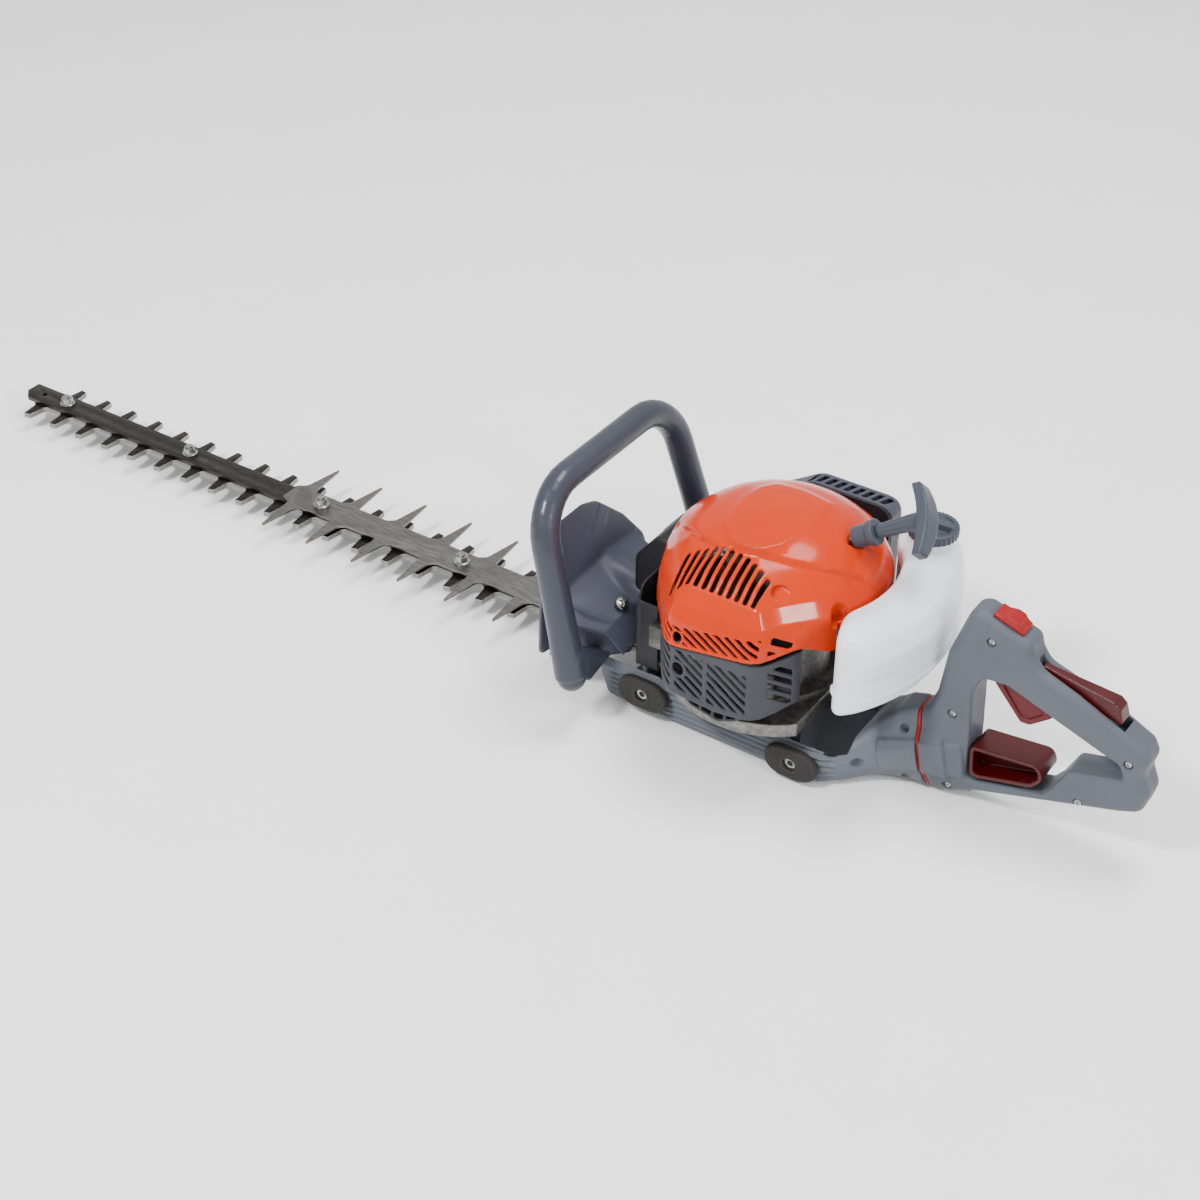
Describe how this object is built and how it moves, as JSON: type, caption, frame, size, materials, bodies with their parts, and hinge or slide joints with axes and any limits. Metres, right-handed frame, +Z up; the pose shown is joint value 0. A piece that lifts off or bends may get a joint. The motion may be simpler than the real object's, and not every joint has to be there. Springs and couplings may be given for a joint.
{
  "type": "petrol hedge trimmer",
  "caption": "Petrol hedge trimmer with double-sided reciprocating blades, a blunt tooth comb, wrap-round front handle, hand guard and swivelling rear handle.",
  "frame": {"origin": "where the crankshaft axis meets the surface the trimmer rests on", "axes": "+X towards the rear handle, -X towards the blade tip, -Y the operator's left with the muffler, +Z up"},
  "size_m": [1.1934, 0.2435, 0.2445],
  "materials": {
    "steel": "ground, dull",
    "zinc": "zinc plated",
    "comb": "matt rolled sheet",
    "cast": "as cast",
    "orange": "glossy moulded",
    "grey": "satin moulded",
    "dark": "fine texture",
    "bail": "satin moulded",
    "guard": "satin moulded",
    "red": "moulded",
    "wine": "moulded",
    "tank": "translucent, satin",
    "rubber": "moulded",
    "foam": "open foam",
    "rope": "braided"
  },
  "bodies": {
    "chassis": {"guide_bar": "steel", "tooth_guard": "comb", "blade_bolts": "zinc", "blade_nuts": "zinc", "gear_case_lower": "cast", "gear_case_upper": "cast", "gear_pin": "steel", "ball_bearings": "steel", "engine_base": "dark", "crankcase": "cast", "cylinder": "cast", "ignition_coil": "dark", "spark_plug": "zinc", "plug_cap": "rubber", "plug_cover": "dark", "muffler": "zinc", "intake_manifold": "dark", "carburetor": "cast", "air_filter": "foam", "filter_plate": "dark", "air_filter_cover": "guard", "engine_cover": "orange", "muffler_guard": "grey", "rope_guide": "dark", "starter_post": "dark", "recoil_spring": "steel", "fuel_tank": "tank", "base_skid": "grey", "frame_left": "grey", "frame_right": "grey", "engine_posts": "dark", "chassis_screws": "zinc", "bumpers": "rubber", "front_handle": "bail", "hand_guard": "guard", "swivel_ring": "red"},
    "blade_upper": {"upper_blade": "steel"},
    "blade_lower": {"lower_blade": "steel"},
    "gear": {"drive_gear": "steel"},
    "drum": {"pinion_drum": "steel"},
    "crank": {"crankshaft": "steel", "clutch_shoes": "steel", "flywheel": "cast"},
    "piston_rod": {"piston": "cast", "connecting_rod": "steel"},
    "starter_grip": {"starter_handle": "dark", "starter_rope": "rope"},
    "pulley": {"starter_pulley": "dark"},
    "tank_cap": {"fuel_cap": "dark"},
    "choke": {"choke_lever": "dark"},
    "primer": {"primer_bulb": "tank"},
    "knob": {"filter_knob": "dark"},
    "rear_handle": {"rear_handle_left": "grey", "rear_handle_right": "grey", "rear_handle_screws": "zinc", "swivel_spigot": "dark"},
    "trigger": {"throttle_trigger": "wine"},
    "lockout": {"lockout_lever": "wine"},
    "switch": {"stop_switch": "red"},
    "swivel_lock": {"rotation_lever": "wine"}
  },
  "joints": [
    {"name": "upper_blade_slide", "type": "slide", "parent": "chassis", "child": "blade_upper", "axis": [1, 0, 0], "range_m": [-0.00875, 0.00875]},
    {"name": "lower_blade_slide", "type": "slide", "parent": "chassis", "child": "blade_lower", "axis": [1, 0, 0], "range_m": [-0.00875, 0.00875]},
    {"name": "drum_spin", "type": "hinge", "parent": "chassis", "child": "drum", "pos_m": [0, 0, 0.04], "axis": [0, 0, 1], "continuous": true},
    {"name": "gear_spin", "type": "hinge", "parent": "chassis", "child": "gear", "pos_m": [-0.045, 0, 0.031], "axis": [0, 0, 1], "continuous": true},
    {"name": "crank_spin", "type": "hinge", "parent": "chassis", "child": "crank", "pos_m": [0, 0, 0.088], "axis": [0, 0, 1], "continuous": true},
    {"name": "piston_slide", "type": "slide", "parent": "chassis", "child": "piston_rod", "axis": [1, 0, 0], "range_m": [-0.014, 0.014]},
    {"name": "starter_pull", "type": "slide", "parent": "chassis", "child": "starter_grip", "axis": [0.8448, 0.142, 0.5159], "range_m": [0, 0.03], "stiffness_N_per_m": 200, "springref_m": -0.01},
    {"name": "pulley_spin", "type": "hinge", "parent": "chassis", "child": "pulley", "pos_m": [0, 0, 0.183], "axis": [0, 0, 1], "range_deg": [-5, 60]},
    {"name": "tank_cap_turn", "type": "hinge", "parent": "chassis", "child": "tank_cap", "pos_m": [0.098, 0.07, 0.18], "axis": [0, 0, 1], "range_deg": [0, 270]},
    {"name": "choke_swing", "type": "hinge", "parent": "chassis", "child": "choke", "pos_m": [-0.05, 0.117, 0.088], "axis": [0, 1, 0], "range_deg": [0, 60]},
    {"name": "primer_press", "type": "slide", "parent": "chassis", "child": "primer", "axis": [1, 0, 0], "range_m": [0, 0.003], "stiffness_N_per_m": 500, "springref_m": -0.001},
    {"name": "filter_knob_turn", "type": "hinge", "parent": "chassis", "child": "knob", "pos_m": [0.024, 0.116, 0.14], "axis": [0, 1, 0], "range_deg": [0, 270]},
    {"name": "handle_swivel", "type": "hinge", "parent": "chassis", "child": "rear_handle", "pos_m": [0.146, 0, 0.04], "axis": [0.9799, 0, 0.1994], "range_deg": [-90, 90]},
    {"name": "trigger_squeeze", "type": "hinge", "parent": "rear_handle", "child": "trigger", "pos_m": [0.202, 0, 0.133], "axis": [0, -1, 0], "range_deg": [0, 14], "stiffness_Nm_per_rad": 0.2, "springref_deg": -11.46},
    {"name": "lockout_press", "type": "hinge", "parent": "rear_handle", "child": "lockout", "pos_m": [0.233, 0, 0.1465], "axis": [0, 1, 0], "range_deg": [0, 5], "stiffness_Nm_per_rad": 0.3, "springref_deg": -11.46},
    {"name": "stop_switch_slide", "type": "slide", "parent": "rear_handle", "child": "switch", "axis": [0.9511, 0, -0.309], "range_m": [0, 0.005]},
    {"name": "swivel_lock_pull", "type": "slide", "parent": "rear_handle", "child": "swivel_lock", "axis": [1, 0, 0], "range_m": [0, 0.008], "stiffness_N_per_m": 400, "springref_m": -0.002}
  ],
  "couplings": [
    {"joint": "lower_blade_slide", "follows": "upper_blade_slide", "ratio": -1},
    {"joint": "drum_spin", "follows": "gear_spin", "ratio": -4},
    {"joint": "pulley_spin", "follows": "starter_pull", "rad_per_m": 29.4}
  ]
}
